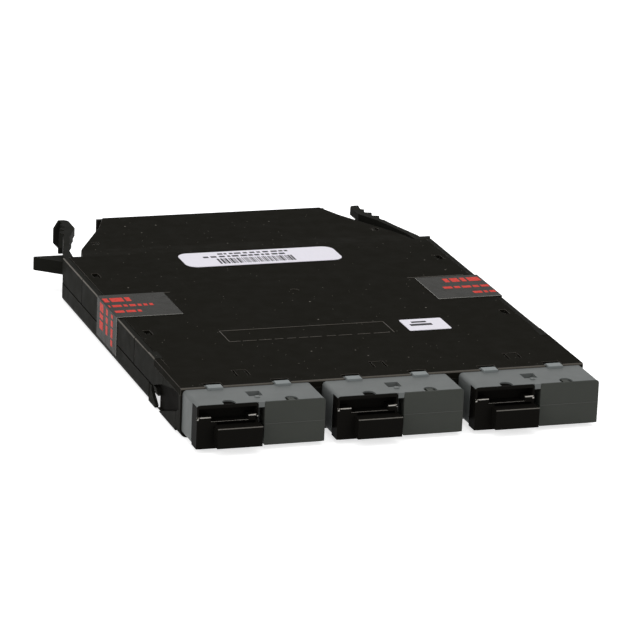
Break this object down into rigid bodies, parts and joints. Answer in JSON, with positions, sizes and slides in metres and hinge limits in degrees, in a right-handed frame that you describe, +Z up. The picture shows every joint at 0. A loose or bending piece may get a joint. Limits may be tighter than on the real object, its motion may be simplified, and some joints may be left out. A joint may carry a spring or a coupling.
{
  "type": "fibre cassette",
  "caption": "Flat fibre cassette: black tray and sealed lid, grey duplex adapters with closures along the front, ribbon adapter at the back, sprung release arms.",
  "frame": {"origin": "centre of the underside of the box around the whole cassette", "axes": "+Y from the front ports to the back, +Z up through the lid, +X to the right seen from the ports"},
  "size_m": [0.0902, 0.137, 0.0101],
  "materials": {
    "housing_plastic": "fine moulded satin",
    "adapter_grey": "satin",
    "adapter_black": "satin",
    "cap_plastic": "gloss",
    "blank_plastic": "satin",
    "ceramic": "polished",
    "connector_plastic": "satin",
    "fanout_plastic": "satin",
    "fibre_jacket": "satin",
    "label_white": "paper",
    "seal_film": "film"
  },
  "bodies": {
    "housing": {"base_tray": "housing_plastic", "top_cover": "housing_plastic", "front_adapter_left": "adapter_grey", "alignment_sleeves_left": "ceramic", "inner_connectors_left": "connector_plastic", "splitter_left": "fanout_plastic", "fibres_left": "fibre_jacket", "front_adapter_centre": "adapter_grey", "alignment_sleeves_centre": "ceramic", "inner_connectors_centre": "connector_plastic", "splitter_centre": "fanout_plastic", "fibres_centre": "fibre_jacket", "front_adapter_right": "adapter_grey", "alignment_sleeves_right": "ceramic", "inner_connectors_right": "connector_plastic", "splitter_right": "fanout_plastic", "fibres_right": "fibre_jacket", "rear_adapter": "adapter_black", "ribbon_connector": "connector_plastic", "fanout_block": "fanout_plastic", "fibre_legs": "fibre_jacket", "long_label": "label_white", "short_label": "label_white", "seal_left": "seal_film", "seal_right": "seal_film"},
    "release_arm_left": {"release_arm_left": "housing_plastic"},
    "release_arm_right": {"release_arm_right": "housing_plastic"},
    "dust_cap_left": {"dust_cap_left": "cap_plastic"},
    "port_blank_left": {"port_blank_left": "blank_plastic"},
    "dust_cap_centre": {"dust_cap_centre": "cap_plastic"},
    "port_blank_centre": {"port_blank_centre": "blank_plastic"},
    "dust_cap_right": {"dust_cap_right": "cap_plastic"},
    "port_blank_right": {"port_blank_right": "blank_plastic"},
    "rear_dust_cap": {"rear_dust_cap": "cap_plastic"}
  },
  "joints": [
    {"name": "release_arm_left_flex", "type": "hinge", "parent": "housing", "child": "release_arm_left", "pos_m": [-0.0396, 0.0334, 0.0069], "axis": [0, 0, -1], "range_deg": [0, 5], "stiffness_Nm_per_rad": 1.5},
    {"name": "release_arm_right_flex", "type": "hinge", "parent": "housing", "child": "release_arm_right", "pos_m": [0.0396, 0.0334, 0.0069], "axis": [0, 0, 1], "range_deg": [0, 5], "stiffness_Nm_per_rad": 1.5},
    {"name": "dust_cap_left_pull", "type": "slide", "parent": "housing", "child": "dust_cap_left", "axis": [0, -1, 0], "range_m": [0, 0.012]},
    {"name": "port_blank_left_pull", "type": "slide", "parent": "housing", "child": "port_blank_left", "axis": [0, -1, 0], "range_m": [0, 0.012]},
    {"name": "dust_cap_centre_pull", "type": "slide", "parent": "housing", "child": "dust_cap_centre", "axis": [0, -1, 0], "range_m": [0, 0.012]},
    {"name": "port_blank_centre_pull", "type": "slide", "parent": "housing", "child": "port_blank_centre", "axis": [0, -1, 0], "range_m": [0, 0.012]},
    {"name": "dust_cap_right_pull", "type": "slide", "parent": "housing", "child": "dust_cap_right", "axis": [0, -1, 0], "range_m": [0, 0.012]},
    {"name": "port_blank_right_pull", "type": "slide", "parent": "housing", "child": "port_blank_right", "axis": [0, -1, 0], "range_m": [0, 0.012]},
    {"name": "rear_dust_cap_pull", "type": "slide", "parent": "housing", "child": "rear_dust_cap", "axis": [0, 1, 0], "range_m": [0, 0.01]}
  ]
}
